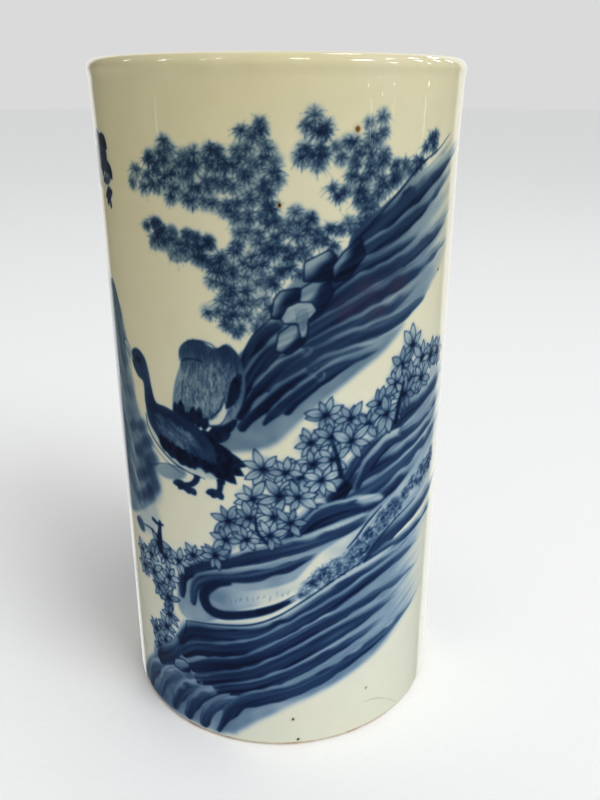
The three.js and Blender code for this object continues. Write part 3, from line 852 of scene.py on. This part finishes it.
# ---- solids of revolution ----
def turned(name, outline, sides, ring, swell=0, rise=0, turn=0):
    """A smooth closed solid turned about the pot's axis from an outline of (radius, height) in mm.
    A ring's outline closes on itself; a disc's starts and ends on the axis. Column 0 is the front,
    and the outline runs anticlockwise in its section. swell adds to each point's radius, rise to its
    height and turn to its angle."""
    radius, height = np.array(outline, float).T
    rows = len(outline)
    angle = np.arange(sides) * 2 * math.pi / sides + turn
    radii = radius[:, None] + swell + np.zeros((rows, sides))
    heights = height[:, None] + rise + np.zeros((rows, sides))
    points = np.stack([radii * np.sin(angle), -radii * np.cos(angle), heights], axis=-1)
    grid = np.arange(rows * sides).reshape(rows, sides)
    after = np.roll(grid, -1, axis=1)
    if ring:
        above = np.roll(np.arange(rows), -1)
        quads = np.stack([grid, after, after[above], grid[above]], axis=-1).reshape(-1, 4)
        corners, sizes = quads.ravel(), np.full(len(quads), 4)
        vertices = points.reshape(-1, 3)
    else:
        grid, after = grid - sides, after - sides
        quads = np.stack([grid[1:-2], after[1:-2], after[2:-1], grid[2:-1]], axis=-1).reshape(-1, 4)
        start, end = (rows - 2) * sides + np.zeros((2, sides), int) + [[0], [1]]
        first_fan = np.stack([start, after[1], grid[1]], axis=-1)
        last_fan = np.stack([end, grid[-2], after[-2]], axis=-1)
        corners = np.concatenate([quads.ravel(), first_fan.ravel(), last_fan.ravel()])
        sizes = np.concatenate([np.full(len(quads), 4), np.full(2 * sides, 3)])
        vertices = np.vstack([points[1:-1].reshape(-1, 3), points[0, :1], points[-1, :1]])
    mesh = bpy.data.meshes.new(name)
    mesh.vertices.add(len(vertices))
    mesh.vertices.foreach_set("co", (vertices * MM).ravel())
    mesh.loops.add(len(corners))
    mesh.loops.foreach_set("vertex_index", corners)
    mesh.polygons.add(len(sizes))
    mesh.polygons.foreach_set("loop_start", np.concatenate([[0], np.cumsum(sizes)[:-1]]))
    mesh.polygons.foreach_set("use_smooth", np.ones(len(sizes), bool))
    mesh.update(calc_edges=True)
    piece = bpy.data.objects.new(name, mesh)
    bpy.context.collection.objects.link(piece)
    return piece


def arc(centre, radii, start, end, steps):
    """Points along an ellipse from one angle to another, in degrees."""
    angles = np.radians(np.linspace(start, end, steps + 1))
    return [(centre[0] + radii[0] * math.cos(a), centre[1] + radii[1] * math.sin(a)) for a in angles]


# the rest of the pot's section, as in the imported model
LIP_FLARE = LIP_OUTSIDE - BODY_RADIUS
FLARE_LENGTH = 8.5
LIP_THICKNESS = 4.6
LIP_RISE = 2.6
WALL_THICKNESS = 5
INSIDE_CORNER = 7
FOOT_EDGE = 0.5
LIP_BASE = HEIGHT - LIP_RISE
LIP_MIDDLE = LIP_OUTSIDE - LIP_THICKNESS / 2
LIP_INSIDE = LIP_OUTSIDE - LIP_THICKNESS
FLARE_FOOT = LIP_BASE - 3 * FLARE_LENGTH
INSIDE_RADIUS = BODY_RADIUS - WALL_THICKNESS
SEAM = GLAZE_SEAM + CLEARANCE / 2          # the two coats run into each other inside the mouth
SEAM_STEP = 0.03                 # the last step of each coat before the seam
FINE_SIDES = 288

# the hollow that the roll of the lip leaves under it
HOLLOW_DEPTH = 0.2
HOLLOW_DROP = 1.8                # of its deepest line, from the lip's base
HOLLOW_REACH = 2.6

# throwing rings inside; a pitch is in mm for each radian of the wave
RING_DEPTH = 0.12
RING_PITCH = 1.25
RING_STEP = 0.6                  # between the points of the section
FLOOR_RING_DEPTH = 0.24
FLOOR_RING_PITCH = 1.4
FLOOR_RING_STEP = 0.8
TOOL_DEPTH = 0.06                # of the rings on the foot
TOOL_STEP = 0.3

# how the painting goes on the pot: drawn down by a share of its height, most of all at the front,
# and turned by radians, with its sides drawn forward
SQUEEZE_ALL = 0.0165
SQUEEZE_FRONT = 0.0206
TURN_ALL = 0.002
TURN_SIDES = 0.02
FIRST_ROW = math.ceil((GLAZE_LINE + COAT) / STEP)
ROWS_UNDER_LIP = 10              # between the painting's top and the lip


def body_radius(height):
    """Outside radius at a height, with the flare under the lip and the hollow under its roll."""
    starts = smooth(FLARE_FOOT, FLARE_FOOT + FLARE_LENGTH, height)
    hollow = HOLLOW_DEPTH * np.exp(-((LIP_BASE - HOLLOW_DROP - height) / HOLLOW_REACH) ** 2)
    hollow *= smooth(LIP_BASE, LIP_BASE - HOLLOW_DROP, height)
    return BODY_RADIUS + LIP_FLARE * starts * np.exp((height - LIP_BASE) / FLARE_LENGTH) - hollow


def inside_radius(height):
    """Inside radius at a height above the flare's foot."""
    return INSIDE_RADIUS + (LIP_INSIDE - INSIDE_RADIUS) * (height - FLARE_FOOT) / (LIP_BASE - FLARE_FOOT)


def outer_section():
    """The outer coat's section: up the outside, over the lip, a little way down inside, and back. Then
    the rows of it that carry the painting, and the rows between the painting and the lip."""
    bead = arc((BODY_RADIUS - COAT, GLAZE_LINE + COAT), (COAT, COAT), 270, 350, 4)
    outside = [(BODY_RADIUS, row * STEP) for row in range(FIRST_ROW, ROWS)]
    under_lip = [(BODY_RADIUS, PAINTED_TOP)] * ROWS_UNDER_LIP
    lip = arc((LIP_MIDDLE, LIP_BASE), (LIP_THICKNESS / 2, LIP_RISE), 0, 180, 28)
    mouth_heights = (*np.linspace(LIP_BASE, SEAM, 12)[1:-1], SEAM + SEAM_STEP, SEAM)
    mouth = [(inside_radius(height), height) for height in mouth_heights]
    behind = [(inside_radius(SEAM) + COAT, SEAM)]
    behind += arc((LIP_MIDDLE, LIP_BASE), (LIP_THICKNESS / 2 - COAT, LIP_RISE - COAT), 180, 0, 8)
    behind += [(body_radius(height) - COAT, height) for height in np.linspace(LIP_BASE - 2, FLARE_FOOT, 6)]
    painted = slice(len(bead), len(bead) + len(outside))
    unpainted = slice(painted.stop, painted.stop + ROWS_UNDER_LIP)
    return bead + outside + under_lip + lip + mouth + behind, painted, unpainted


def outer_glaze():
    """The painted coat, as fine as the painting."""
    outline, painted, unpainted = outer_section()
    angle = np.arange(COLUMNS) * 2 * math.pi / COLUMNS
    drawn = np.arange(FIRST_ROW, ROWS)[:, None] * STEP
    above = np.linspace(0, 1, ROWS_UNDER_LIP + 2)[1:-1, None]
    squeeze = SQUEEZE_ALL + SQUEEZE_FRONT * np.maximum(np.cos(angle), 0)
    rise, swell = np.zeros((2, len(outline), COLUMNS))
    rise[painted] = -squeeze * smooth(GLAZE_LINE, 4, drawn) * drawn
    rise[unpainted] = (LIP_BASE - PAINTED_TOP) * above - squeeze * PAINTED_TOP * (1 - above)
    below_lip = slice(painted.start, unpainted.stop)
    heights = np.array(outline)[below_lip, 1:] + rise[below_lip]
    swell[below_lip] = body_radius(heights) - BODY_RADIUS
    swell[painted] += WAVES[FIRST_ROW:] * smooth(GLAZE_LINE, 12, drawn) * smooth(PAINTED_TOP, 178, drawn)
    turn = TURN_ALL - TURN_SIDES * np.sin(angle)
    piece = turned("glaze_outside", outline, COLUMNS, True, swell, rise, turn)
    for label, canvas in (("cobalt", cobalt), ("blush", blush), ("iron", iron)):
        values = np.zeros((len(outline), COLUMNS), np.float32)
        values[painted] = np.clip(canvas[FIRST_ROW:], 0, 1)
        values[:painted.start] = values[painted.start] * np.linspace(0, 1, painted.start)[:, None]
        layer = piece.data.attributes.new(label, "FLOAT", "POINT")
        layer.data.foreach_set("value", values.ravel())
    unroll(piece, outline)
    return piece


def unroll(piece, outline):
    """A map for the outer glaze: round the pot across, along the outline up."""
    path = np.array(outline + outline[:1])
    travel = np.concatenate([[0], np.cumsum(np.hypot(*np.diff(path, axis=0).T))])
    travel = (travel / travel[-1])[:, None]
    columns = np.arange(COLUMNS)
    corners = np.empty((len(outline), COLUMNS, 4, 2), np.float32)
    corners[..., [0, 3], 0] = columns[:, None] / COLUMNS
    corners[..., [1, 2], 0] = (columns[:, None] + 1) / COLUMNS
    corners[..., [0, 1], 1] = travel[:-1, :, None]
    corners[..., [2, 3], 1] = travel[1:, :, None]
    piece.data.uv_layers.new(name="OFBake").data.foreach_set("uv", corners.ravel())


def inner_glaze():
    """The inside coat: throwing rings up the wall and round the floor, with a button at its middle."""
    corner_top = INSIDE_FLOOR + INSIDE_CORNER
    flat_radius = INSIDE_RADIUS - INSIDE_CORNER

    def corner(inset, start, end):
        return arc((flat_radius, corner_top), (INSIDE_CORNER + inset, INSIDE_CORNER + inset), start, end, 14)

    back = [(0, INSIDE_FLOOR - COAT)] + corner(COAT, 270, 360)
    back += [(inside_radius(height) + COAT, height) for height in (FLARE_FOOT, SEAM)]
    flare_heights = (SEAM, SEAM - SEAM_STEP, *np.linspace(SEAM, FLARE_FOOT, 16, endpoint=False)[1:])
    face = [(inside_radius(height), height) for height in flare_heights]
    for height in np.arange(FLARE_FOOT, corner_top + 1, -RING_STEP):
        depth = RING_DEPTH * smooth(FLARE_FOOT, FLARE_FOOT - 10, height)
        depth *= smooth(corner_top, corner_top + 7, height)
        ring = (1 + math.sin(height / RING_PITCH + 1.5 * math.sin(height / 17))) / 2
        face.append((INSIDE_RADIUS - depth * ring, height))
    face += corner(0, 360, 270)
    for radius in np.arange(flat_radius - FLOOR_RING_STEP, 0.5, -FLOOR_RING_STEP):
        depth = FLOOR_RING_DEPTH * smooth(flat_radius, flat_radius - 6, radius)
        ring = (1 + math.sin(radius / FLOOR_RING_PITCH)) / 2
        button = 0.5 * math.exp(-(radius / 5) ** 2)
        face.append((radius, INSIDE_FLOOR + depth * ring + button))
    return turned("glaze_inside", back + face + [(0, INSIDE_FLOOR + 0.6)], FINE_SIDES, False)


def underside_glaze():
    """The coat in the hollow of the foot."""
    skirt = FOOT_RECESS / 2
    centre = (SKIRT_OUTSIDE - skirt - COAT, skirt)
    face = [(0, FOOT_RECESS)] + [(radius, FOOT_RECESS) for radius in np.arange(4, centre[0] - 1, 4)]
    face += arc(centre, (skirt, skirt), 90, 0, 14)
    back = [(SKIRT_OUTSIDE, skirt), (SKIRT_OUTSIDE, RECESS_TOP), (0, RECESS_TOP)]
    return turned("glaze_underside", face + back, FINE_SIDES, False)


def foot():
    """The bare ring the pot stands on, with the fine rings of a turning tool on its sole."""
    edge = (FOOT_EDGE, FOOT_EDGE)
    outline = arc((FOOT_INSIDE + FOOT_EDGE, FOOT_EDGE), edge, 180, 270, 6)
    sole = np.arange(FOOT_INSIDE + FOOT_EDGE + TOOL_STEP, CLAY_RADIUS - FOOT_EDGE, TOOL_STEP)
    outline += [(radius, TOOL_DEPTH * (1 + math.sin(radius * 5.3)) / 2) for radius in sole]
    outline += arc((CLAY_RADIUS - FOOT_EDGE, FOOT_EDGE), edge, 270, 360, 6)
    outline += [(CLAY_RADIUS, FOOT_TOP), (FOOT_INSIDE, FOOT_TOP)]
    return turned("foot", outline, FINE_SIDES, True)


# ---- materials ----
class Nodes:
    """Adds shader nodes to a material or a world and joins them up."""

    def __init__(self, owner):
        owner.use_nodes = True
        self.owner = owner
        self.tree = owner.node_tree
        self.coordinates = self.add("ShaderNodeTexCoord").outputs
        self.place = self.coordinates["Object"]

    def add(self, kind, inputs=None, **settings):
        """A node; an input is given a value or another node's output."""
        node = self.tree.nodes.new(kind)
        for setting, value in settings.items():
            setattr(node, setting, value)
        for name, value in (inputs or {}).items():
            self.put(node.inputs[name], value)
        return node

    def put(self, socket, value):
        """Joins an output to a socket, or sets its value."""
        if isinstance(value, bpy.types.NodeSocket):
            self.tree.links.new(value, socket)
        else:
            socket.default_value = value

    def noise(self, size, detail=3, roughness=0.5):
        """Noise from 0 to 1 with blobs of that size in mm."""
        inputs = {"Vector": self.place, "Scale": 1 / (size * MM), "Detail": detail, "Roughness": roughness}
        return self.add("ShaderNodeTexNoise", inputs).outputs["Fac"]

    def math(self, operation, *values):
        """The result of one step of arithmetic on values or outputs."""
        return self.add("ShaderNodeMath", dict(enumerate(values)), operation=operation).outputs[0]

    def ramp(self, value, stops):
        """A colour for each value, from (position, colour) stops."""
        node = self.add("ShaderNodeValToRGB", {"Fac": value})
        while len(node.color_ramp.elements) < len(stops):
            node.color_ramp.elements.new(1)
        for element, (position, colour) in zip(node.color_ramp.elements, stops):
            element.position, element.color = position, colour
        return node.outputs["Color"]

    def mix(self, share, first, second, blend="MIX"):
        """The second colour over the first one by a share."""
        node = self.add("ShaderNodeMix", data_type="RGBA", blend_type=blend)
        self.put(node.inputs[0], share)
        self.put(node.inputs[6], first)
        self.put(node.inputs[7], second)
        return node.outputs[2]

    def bump(self, height, depth):
        """A normal from a height of 0 to 1, that many mm deep."""
        return self.add("ShaderNodeBump", {"Height": height, "Distance": depth * MM}).outputs["Normal"]

    def finish(self, **inputs):
        """The material, with its shader's inputs set; _ stands for a space in their names."""
        for name, value in inputs.items():
            self.put(self.tree.nodes["Principled BSDF"].inputs[name.replace("_", " ")], value)
        return self.owner


def material_nodes(name):
    """The nodes of a new material."""
    return Nodes(bpy.data.materials.new(name))


def grey(value):
    """A linear grey."""
    return (value, value, value, 1)


IVORY_BLUSH = (0.80, 0.70, 0.56, 1)       # in faint patches
# towards the lip and the left the ground turns warmer and darker: partly the glaze's own tone, partly painted
# shade
WARM_SHADED_IVORY = (0.70, 0.63, 0.38, 1)        # towards the lip
COOL_IVORY = (0.79, 0.80, 0.66, 1)        # towards the foot
COOL_BELOW = 80                           # mm up
WARM_SHADE_OVER = 40                            # mm above the lip, where full warmth would come
WARM_SHADE_DRIFT = 80                           # mm up that the clouds are worth at most
WARM_SHADE_LEAN = -0.7                          # mm up that each mm to the right is worth

# how much of the ground's light comes through each tone of cobalt
COBALT_TONES = (
    (0.0, (1, 1, 1, 1)), (0.15, (0.72, 0.80, 0.94, 1)), (0.3, (0.39, 0.53, 0.79, 1)),
    (0.45, (0.18, 0.295, 0.52, 1)), (0.6, (0.066, 0.136, 0.31, 1)), (0.75, (0.021, 0.055, 0.175, 1)),
    (0.9, (0.006, 0.018, 0.080, 1)), (1.0, (0.002, 0.005, 0.026, 1)),
)
WINE = (0.045, 0.03, 0.06, 1)
IRON_TONES = ((0.2, (0.12, 0.10, 0.04, 1)), (0.55, (0.30, 0.12, 0.03, 1)), (0.85, (0.025, 0.018, 0.01, 1)))
IRON = (0.06, 0.03, 0.012, 1)
SPECK_SPACING = 14                        # mm, where nothing is painted
CLAY_TONES = ((0.3, (0.62, 0.57, 0.46, 1)), (0.7, (0.74, 0.70, 0.60, 1)))
TOAST_TONES = ((0.32, (0.50, 0.25, 0.11, 1)), (0.44, (0.68, 0.49, 0.32, 1)), (0.6, (0.74, 0.66, 0.52, 1)))


def ivory(nodes):
    """The ground under the glaze: warmer and darker above and at the left, partly its own tone and partly
    painted shade; cooler and lighter below and at the right, and faintly clouded."""
    where = nodes.add("ShaderNodeSeparateXYZ", {0: nodes.place}).outputs
    # how far towards the warm, painted-shade end: more higher up and further left
    leaning = nodes.math("MULTIPLY_ADD", where["X"], WARM_SHADE_LEAN, where["Z"])
    level = nodes.math("MULTIPLY_ADD", nodes.noise(60, 2), WARM_SHADE_DRIFT * MM, leaning)
    span = {"Value": level, "From Min": COOL_BELOW * MM, "From Max": (HEIGHT + WARM_SHADE_OVER) * MM}
    ground = nodes.mix(nodes.add("ShaderNodeMapRange", span).outputs[0], COOL_IVORY, WARM_SHADED_IVORY)
    clouds = nodes.ramp(nodes.noise(9, 4, 0.6), ((0.3, grey(0.955)), (0.7, grey(1.0))))
    ground = nodes.mix(1.0, ground, clouds, "MULTIPLY")
    rosy = nodes.ramp(nodes.noise(17, 2, 0.5), ((0.55, grey(0)), (0.85, grey(0.35))))
    return nodes.mix(rosy, ground, IVORY_BLUSH)


def glassy(nodes, colour):
    """A clear coat with the skin of a fired glaze, over a colour."""
    skin = nodes.bump(nodes.noise(2.2, 2, 0.4), 0.012)
    return nodes.finish(Base_Color=colour, Roughness=0.5, IOR=1.45, Specular_IOR_Level=0.0, Coat_Weight=1.0,
                        Coat_Roughness=0.035, Coat_IOR=1.5, Coat_Normal=skin)


def painted_glaze():
    """Cobalt under the clear glaze, with a wine-coloured flush and iron specks."""
    nodes = material_nodes("painted_glaze")

    def read(label):
        return nodes.add("ShaderNodeAttribute", attribute_name=label).outputs["Fac"]

    through = nodes.ramp(read("cobalt"), COBALT_TONES)
    colour = nodes.mix(1.0, ivory(nodes), through, "MULTIPLY")
    colour = nodes.mix(nodes.math("MULTIPLY", read("blush"), 0.5), colour, WINE)
    stained = nodes.add("ShaderNodeMapRange", {"Value": read("iron"), "From Max": 0.5}).outputs[0]
    colour = nodes.mix(stained, colour, nodes.ramp(read("iron"), IRON_TONES))
    return glassy(nodes, colour)


def ivory_glaze():
    """The same glaze where nothing is painted, with iron specks."""
    nodes = material_nodes("ivory_glaze")
    pattern = {"Vector": nodes.place, "Scale": 1 / (SPECK_SPACING * MM)}
    cells = nodes.add("ShaderNodeTexVoronoi", pattern).outputs["Distance"]
    specked = nodes.ramp(cells, ((0.02, grey(1)), (0.035, grey(0))))
    return glassy(nodes, nodes.mix(specked, ivory(nodes), IRON))


def porcelain_clay():
    """Fired white clay, with fine grit."""
    nodes = material_nodes("porcelain_clay")
    grit = nodes.noise(0.6, 4, 0.7)
    colour = nodes.ramp(grit, CLAY_TONES)
    return nodes.finish(Base_Color=colour, Roughness=0.8, Normal=nodes.bump(grit, 0.05))


def bare_foot():
    """Bare clay, buff with toasted patches, grit and dark flecks."""
    nodes = material_nodes("bare_foot")
    colour = nodes.ramp(nodes.noise(9, 4, 0.6), TOAST_TONES)
    # random dark flecks that darken the clay in spots
    dark_flecks = nodes.ramp(nodes.noise(0.9, 3, 0.7), ((0.3, grey(0.25)), (0.42, grey(1))))
    colour = nodes.mix(1.0, colour, dark_flecks, "MULTIPLY")
    return nodes.finish(Base_Color=colour, Roughness=0.78, Normal=nodes.bump(nodes.noise(0.7, 4, 0.7), 0.06))


BODY = "root"
ivory_finish = ivory_glaze()
for make, node, slot, finish in (
    (outer_glaze, "outer_glaze", "painted_glaze", painted_glaze()),
    (inner_glaze, "inner_glaze", "ivory_glaze", ivory_finish),
    (underside_glaze, "underside_glaze", "ivory_glaze", ivory_finish),
    (foot, "foot_ring", "bare_foot", bare_foot()),
):
    piece = make()
    piece.data.materials.append(finish)
    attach(piece, BODY)
    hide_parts(node)
clay = porcelain_clay()
for node in ("wall", "base_slab"):
    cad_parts[node].data.materials.clear()
    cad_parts[node].data.materials.append(clay)

# ---- camera ----
CAMERA_BACK = 4.607 * BODY_RADIUS         # from the pot's axis
CAMERA_RIGHT = 0.1226 * BODY_RADIUS
CAMERA_UNDER_LIP = 0.1774 * BODY_RADIUS
CAMERA_DOWN = 21.42                       # degrees below level
SENSOR_WIDTH = 36
LENS = 34.92
camera = bpy.data.objects.new("camera", bpy.data.cameras.new("camera"))
camera.location = Vector((CAMERA_RIGHT, -CAMERA_BACK, HEIGHT - CAMERA_UNDER_LIP)) * MM
camera.rotation_euler = (math.radians(90 - CAMERA_DOWN), 0, 0)
camera.data.sensor_width = SENSOR_WIDTH
camera.data.lens = LENS
camera.data.clip_start = 0.01
bpy.context.collection.objects.link(camera)
bpy.context.scene.camera = camera
bpy.context.scene.view_settings.view_transform = "Standard"


# ---- floor, room and lamps, in metres where nothing else is said ----
FLOOR_RADIUS = 12
ROOM_LIGHT = 0.49                # on everything
BACKGROUND = 0.7                 # what the camera sees above the floor
WALL_MIDDLE = 0.045              # bearing of the bright wall behind the pot, in radians
WALL_EDGE = (0.58, 0.73)         # where it ends, to either side of its middle
DARK_SIDE = 0.08                 # how bright the rest of the room looks in the glaze
FLAG_PLACE = (-0.15, -0.08, 0.27)
FLAG_SIZE = (0.11, 0.22, 1)
SUN_TILT, SUN_TURN, SUN_BREADTH = 48, 48, 30        # degrees
SUN_POWER = 1.15
SUN_COLOUR = (0.95, 0.985, 1.0)
OVERHEAD_PLACE = Vector((0.3, -0.25, 1.4))
OVERHEAD_SIZE = (0.6, 0.6)
OVERHEAD_POWER = 5


def floor():
    """A pale sheet of paper, far wider than the pot, that stays out of the glaze's reflections."""
    bpy.ops.mesh.primitive_circle_add(vertices=96, radius=FLOOR_RADIUS, fill_type="NGON")
    sheet = bpy.context.object
    sheet.name = "floor"
    nodes = material_nodes("paper")
    colour = nodes.ramp(nodes.noise(1.5, 3, 0.6), ((0.3, grey(0.95)), (0.7, grey(0.98))))
    sheet.data.materials.append(nodes.finish(Base_Color=colour, Roughness=0.9))
    sheet.visible_glossy = False


def room():
    """A white room. The glaze reflects a darker one, with a bright wall behind the pot."""
    world = bpy.data.worlds.new("room")
    bpy.context.scene.world = world
    nodes = Nodes(world)
    way = nodes.add("ShaderNodeSeparateXYZ", {0: nodes.coordinates["Generated"]}).outputs
    bearing = nodes.math("ARCTAN2", way["X"], way["Y"])
    off_middle = nodes.math("ABSOLUTE", nodes.math("SUBTRACT", bearing, WALL_MIDDLE))
    span = {"Value": off_middle, "From Min": WALL_EDGE[1], "From Max": WALL_EDGE[0], "To Min": DARK_SIDE}
    mirrored = nodes.add("ShaderNodeMapRange", span, interpolation_type="SMOOTHSTEP").outputs[0]
    rays = nodes.add("ShaderNodeLightPath").outputs
    span = {"Value": rays["Is Camera Ray"], "To Min": ROOM_LIGHT, "To Max": BACKGROUND}
    seen = nodes.add("ShaderNodeMapRange", span).outputs[0]
    strength = nodes.add("ShaderNodeMix", {0: rays["Is Glossy Ray"], 2: seen, 3: mirrored}).outputs[0]
    background = nodes.tree.nodes["Background"].inputs
    nodes.put(background["Strength"], strength)
    nodes.put(background["Color"], grey(1))


def lamp(name, place, target, size, power):
    """An oblong lamp at a place, facing a target, that neither the camera nor a reflection shows."""
    made = bpy.data.objects.new(name, bpy.data.lights.new(name, "AREA"))
    made.location = place
    made.rotation_euler = (target - place).to_track_quat("-Z", "Y").to_euler()
    made.data.shape = "RECTANGLE"
    made.data.size, made.data.size_y = size
    made.data.energy = power
    made.visible_camera = False
    made.visible_glossy = False
    bpy.context.collection.objects.link(made)
    return made


def surface_at(height):
    """The outside's radius at a height in mm, and how far it leans up there, in radians."""
    share = (height - LIP_BASE) / LIP_RISE
    if share > 0:
        half = LIP_THICKNESS / 2
        out = half * math.sqrt(1 - share ** 2)
        return LIP_MIDDLE + out, math.atan2(share / LIP_RISE, out / half ** 2)
    rise = 0.1
    spread = body_radius(height + rise / 2) - body_radius(height - rise / 2)
    return float(body_radius(height)), -math.atan(spread / rise)


def glint(name, azimuth, height, width, tall, radiance):
    """A small window a metre from the glaze, which the camera sees in it at degrees round from the
    front and mm up. It lights nothing else."""
    radius, lean = surface_at(height)
    turn = math.radians(azimuth)
    outward = Vector((math.sin(turn), -math.cos(turn), 0))
    normal = outward * math.cos(lean) + Vector((0, 0, math.sin(lean)))
    place = (outward * radius + Vector((0, 0, height))) * MM
    view = (camera.location - place).normalized()
    way = 2 * normal.dot(view) * normal - view
    made = lamp(name, place + way, place, (width, tall), math.pi * radiance * width * tall)
    made.visible_diffuse = False
    made.visible_glossy = True


def flag():
    """A black card at the upper left, which keeps light off that side of the glaze."""
    bpy.ops.mesh.primitive_plane_add(size=1, location=FLAG_PLACE, rotation=(0, math.radians(90), 0))
    card = bpy.context.object
    card.name = "flag"
    card.scale = FLAG_SIZE
    card.data.materials.append(material_nodes("black_card").finish(Base_Color=grey(0.02), Roughness=0.9))
    card.visible_camera = False
    card.visible_glossy = False


def sun():
    """A broad soft sun from the upper right in front, which doesn't show in the glaze."""
    made = bpy.data.objects.new("sun", bpy.data.lights.new("sun", "SUN"))
    made.rotation_euler = (math.radians(SUN_TILT), 0, math.radians(SUN_TURN))
    made.data.energy = SUN_POWER
    made.data.color = SUN_COLOUR
    made.data.angle = math.radians(SUN_BREADTH)
    made.visible_glossy = False
    bpy.context.collection.objects.link(made)


floor()
room()
flag()
sun()
lamp("overhead", OVERHEAD_PLACE, Vector((0, 0, HEIGHT * MM)), OVERHEAD_SIZE, OVERHEAD_POWER)

# each window's degrees round, mm up, width and height in metres, and brightness
WINDOWS_IN_THE_LIP = (
    (-41, 190.6, 0.06, 0.14, 7), (-28, 190.4, 0.07, 0.16, 12), (-17, 190.4, 0.05, 0.14, 8),
    (-13, 190.5, 0.06, 0.14, 9), (7, 190.5, 0.16, 0.16, 14), (18, 191.5, 0.1, 0.2, 14),
    (23, 190.3, 0.2, 0.16, 16), (32, 189.9, 0.08, 0.12, 9), (31, 190.7, 0.1, 0.1, 12),
    (39, 191, 0.12, 0.1, 14), (48, 191.3, 0.12, 0.1, 14), (41, 190.5, 0.09, 0.12, 14),
    (45, 190, 0.04, 0.12, 9), (49, 190.7, 0.08, 0.12, 14), (56, 190.8, 0.05, 0.12, 14),
)
WINDOWS_IN_THE_BODY = (
    (25, 185.2, 0.008, 0.012, 8), (28, 183.5, 0.006, 0.02, 12), (29.2, 183.5, 0.006, 0.02, 12),
    (33, 185.8, 0.02, 0.01, 6), (46, 186, 0.012, 0.016, 7), (45, 180.4, 0.008, 0.05, 4),
    (33, 177, 0.008, 0.06, 4), (26, 180.3, 0.01, 0.01, 6), (-32, 178.2, 0.008, 0.05, 3.5),
    (-31, 186, 0.01, 0.012, 3),
)
for number, window_look in enumerate(WINDOWS_IN_THE_LIP + WINDOWS_IN_THE_BODY):
    glint(f"window_{number}", *window_look)
